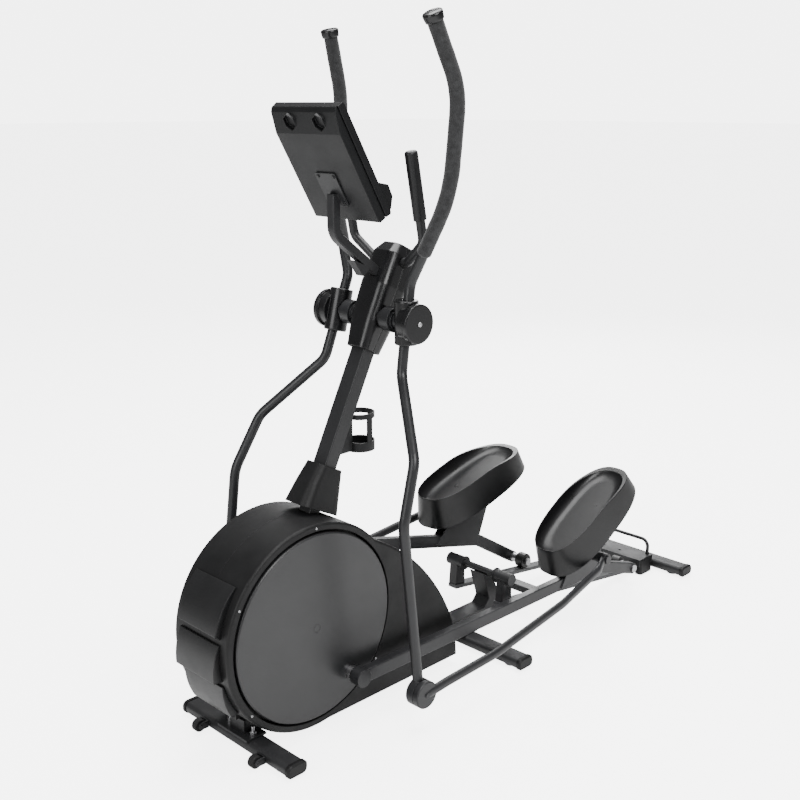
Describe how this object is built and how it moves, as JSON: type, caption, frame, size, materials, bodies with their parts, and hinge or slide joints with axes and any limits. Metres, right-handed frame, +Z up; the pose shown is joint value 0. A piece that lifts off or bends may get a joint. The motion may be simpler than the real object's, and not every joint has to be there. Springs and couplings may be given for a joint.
{
  "type": "elliptical trainer",
  "caption": "Front-drive elliptical trainer with swinging handlebars, pedals on roller arms that ride a sloping rear track, and a tilted console on a mast.",
  "frame": {"origin": "on the floor, under the middle of the machine", "axes": "+X towards the console end, +Y to the machine's left, +Z up"},
  "size_m": [1.9159, 0.6531, 1.823],
  "materials": {
    "frame_paint": "satin powder coat",
    "arm_paint": "satin powder coat",
    "rail_paint": "satin",
    "housing_plastic": "fine grained matte",
    "trim_plastic": "satin",
    "disc_plastic": "satin",
    "head_plastic": "semi gloss",
    "console_plastic": "satin",
    "screen_panel": "glossy",
    "keypad_membrane": "satin",
    "pedal_plastic": "matte",
    "grip_foam": "mottled foam",
    "pulse_grip_plastic": "satin",
    "rubber": "matte",
    "roller_plastic": "satin",
    "bright_steel": "brushed",
    "cast_iron": "turned",
    "bracket_steel": "zinc grey",
    "inlet_plastic": "satin"
  },
  "bodies": {
    "frame": {"bottle_cage": "console_plastic", "brake_motor": "bracket_steel", "console_back": "console_plastic", "console_bezel": "console_plastic", "console_keypad": "keypad_membrane", "console_post": "frame_paint", "console_screen": "screen_panel", "crank_bearings": "bright_steel", "drive_belt": "rubber", "end_caps": "housing_plastic", "flywheel_axle": "bright_steel", "foot_pads": "rubber", "frame_bolts": "bright_steel", "front_stabilizer": "frame_paint", "front_trim_pads": "trim_plastic", "handlebar_shaft": "arm_paint", "head_front_cover": "head_plastic", "head_rear_cover": "head_plastic", "left_housing": "housing_plastic", "lift_handle": "arm_paint", "main_frame": "frame_paint", "mast_foot_cover": "housing_plastic", "mast_tube": "frame_paint", "mid_stabilizer": "frame_paint", "power_inlet": "inlet_plastic", "pulse_bar": "frame_paint", "pulse_grips": "pulse_grip_plastic", "rear_cross_channel": "frame_paint", "rear_stabilizer": "frame_paint", "right_housing": "housing_plastic", "tablet_ledge": "console_plastic", "track_cross_tube": "frame_paint", "track_crossbar": "frame_paint", "track_rails": "rail_paint", "transport_wheel_forks": "arm_paint"},
    "crank": {"crankshaft": "bright_steel", "left_crank_disc": "disc_plastic", "right_crank_disc": "disc_plastic", "crank_pulley": "roller_plastic"},
    "flywheel": {"flywheel": "cast_iron"},
    "idler": {"idler_wheel": "roller_plastic"},
    "brake_yoke": {"magnet_yoke": "bracket_steel"},
    "left_carriage": {"left_roller_axle": "bright_steel"},
    "left_roller": {"left_roller_wheel": "roller_plastic"},
    "left_arm": {"left_roller_arm": "arm_paint", "left_pedal": "pedal_plastic"},
    "left_link": {"left_link_bar": "arm_paint"},
    "left_handlebar": {"left_handlebar": "arm_paint", "left_pivot_sleeve": "head_plastic", "left_grip": "grip_foam"},
    "left_transport_wheel": {"left_transport_wheel": "rubber"},
    "right_carriage": {"right_roller_axle": "bright_steel"},
    "right_roller": {"right_roller_wheel": "roller_plastic"},
    "right_arm": {"right_roller_arm": "arm_paint", "right_pedal": "pedal_plastic"},
    "right_link": {"right_link_bar": "arm_paint"},
    "right_handlebar": {"right_handlebar": "arm_paint", "right_pivot_sleeve": "head_plastic", "right_grip": "grip_foam"},
    "right_transport_wheel": {"right_transport_wheel": "rubber"}
  },
  "joints": [
    {"name": "crank_turn", "type": "hinge", "parent": "frame", "child": "crank", "pos_m": [0.657, 0, 0.307], "axis": [0, 1, 0], "range_deg": [0, 180]},
    {"name": "flywheel_turn", "type": "hinge", "parent": "frame", "child": "flywheel", "pos_m": [0.327, 0, 0.228], "axis": [0, 1, 0], "range_deg": [0, 1050]},
    {"name": "idler_turn", "type": "hinge", "parent": "frame", "child": "idler", "pos_m": [0.40112, 0, 0.17201], "axis": [0, 1, 0], "range_deg": [-1400, 0]},
    {"name": "left_carriage_slide", "type": "slide", "parent": "frame", "child": "left_carriage", "axis": [0.9903, 0, 0.1392], "range_m": [0, 0.28852]},
    {"name": "left_arm_pivot", "type": "hinge", "parent": "left_carriage", "child": "left_arm", "pos_m": [-0.73342, 0, 0.06111], "axis": [0, 1, 0], "range_deg": [-13.5, 0]},
    {"name": "left_roller_turn", "type": "hinge", "parent": "left_carriage", "child": "left_roller", "pos_m": [-0.73342, 0, 0.06111], "axis": [0, 1, 0], "range_deg": [0, 661.24]},
    {"name": "left_link_pivot", "type": "hinge", "parent": "left_arm", "child": "left_link", "pos_m": [-0.43495, 0, 0.21093], "axis": [0, 1, 0], "range_deg": [0, 16.97]},
    {"name": "left_handlebar_pivot", "type": "hinge", "parent": "frame", "child": "left_handlebar", "pos_m": [0.348, 0, 1.067], "axis": [0, 1, 0], "range_deg": [-14.27, 0]},
    {"name": "right_carriage_slide", "type": "slide", "parent": "frame", "child": "right_carriage", "axis": [0.9903, 0, 0.1392], "range_m": [-0.28852, 0]},
    {"name": "right_arm_pivot", "type": "hinge", "parent": "right_carriage", "child": "right_arm", "pos_m": [-0.44771, 0, 0.10126], "axis": [0, 1, 0], "range_deg": [0, 13.5]},
    {"name": "right_roller_turn", "type": "hinge", "parent": "right_carriage", "child": "right_roller", "pos_m": [-0.44771, 0, 0.10126], "axis": [0, 1, 0], "range_deg": [-661.24, 0]},
    {"name": "right_link_pivot", "type": "hinge", "parent": "right_arm", "child": "right_link", "pos_m": [-0.19245, 0, 0.31662], "axis": [0, 1, 0], "range_deg": [-16.97, 0]},
    {"name": "right_handlebar_pivot", "type": "hinge", "parent": "frame", "child": "right_handlebar", "pos_m": [0.348, 0, 1.067], "axis": [0, 1, 0], "range_deg": [0, 14.27]},
    {"name": "left_transport_wheel_turn", "type": "hinge", "parent": "frame", "child": "left_transport_wheel", "pos_m": [0.874, 0, 0.022], "axis": [0, 1, 0], "continuous": true},
    {"name": "right_transport_wheel_turn", "type": "hinge", "parent": "frame", "child": "right_transport_wheel", "pos_m": [0.874, 0, 0.022], "axis": [0, 1, 0], "continuous": true},
    {"name": "brake_yoke_swing", "type": "hinge", "parent": "frame", "child": "brake_yoke", "pos_m": [0.451, 0, 0.33], "axis": [0, 1, 0], "range_deg": [0, 6]}
  ],
  "couplings": [
    {"joint": "flywheel_turn", "follows": "crank_turn", "ratio": 5.8333},
    {"joint": "idler_turn", "follows": "crank_turn", "ratio": -7.7778},
    {"joint": "left_carriage_slide", "follows": "crank_turn", "m_per_rad": 0.091839},
    {"joint": "left_arm_pivot", "follows": "crank_turn", "ratio": -0.07499},
    {"joint": "left_roller_turn", "follows": "crank_turn", "ratio": 3.6736},
    {"joint": "left_link_pivot", "follows": "crank_turn", "ratio": 0.094298},
    {"joint": "left_handlebar_pivot", "follows": "crank_turn", "ratio": -0.079253},
    {"joint": "right_carriage_slide", "follows": "crank_turn", "m_per_rad": -0.091839},
    {"joint": "right_arm_pivot", "follows": "crank_turn", "ratio": 0.07499},
    {"joint": "right_roller_turn", "follows": "crank_turn", "ratio": -3.6736},
    {"joint": "right_link_pivot", "follows": "crank_turn", "ratio": -0.094298},
    {"joint": "right_handlebar_pivot", "follows": "crank_turn", "ratio": 0.079253}
  ]
}
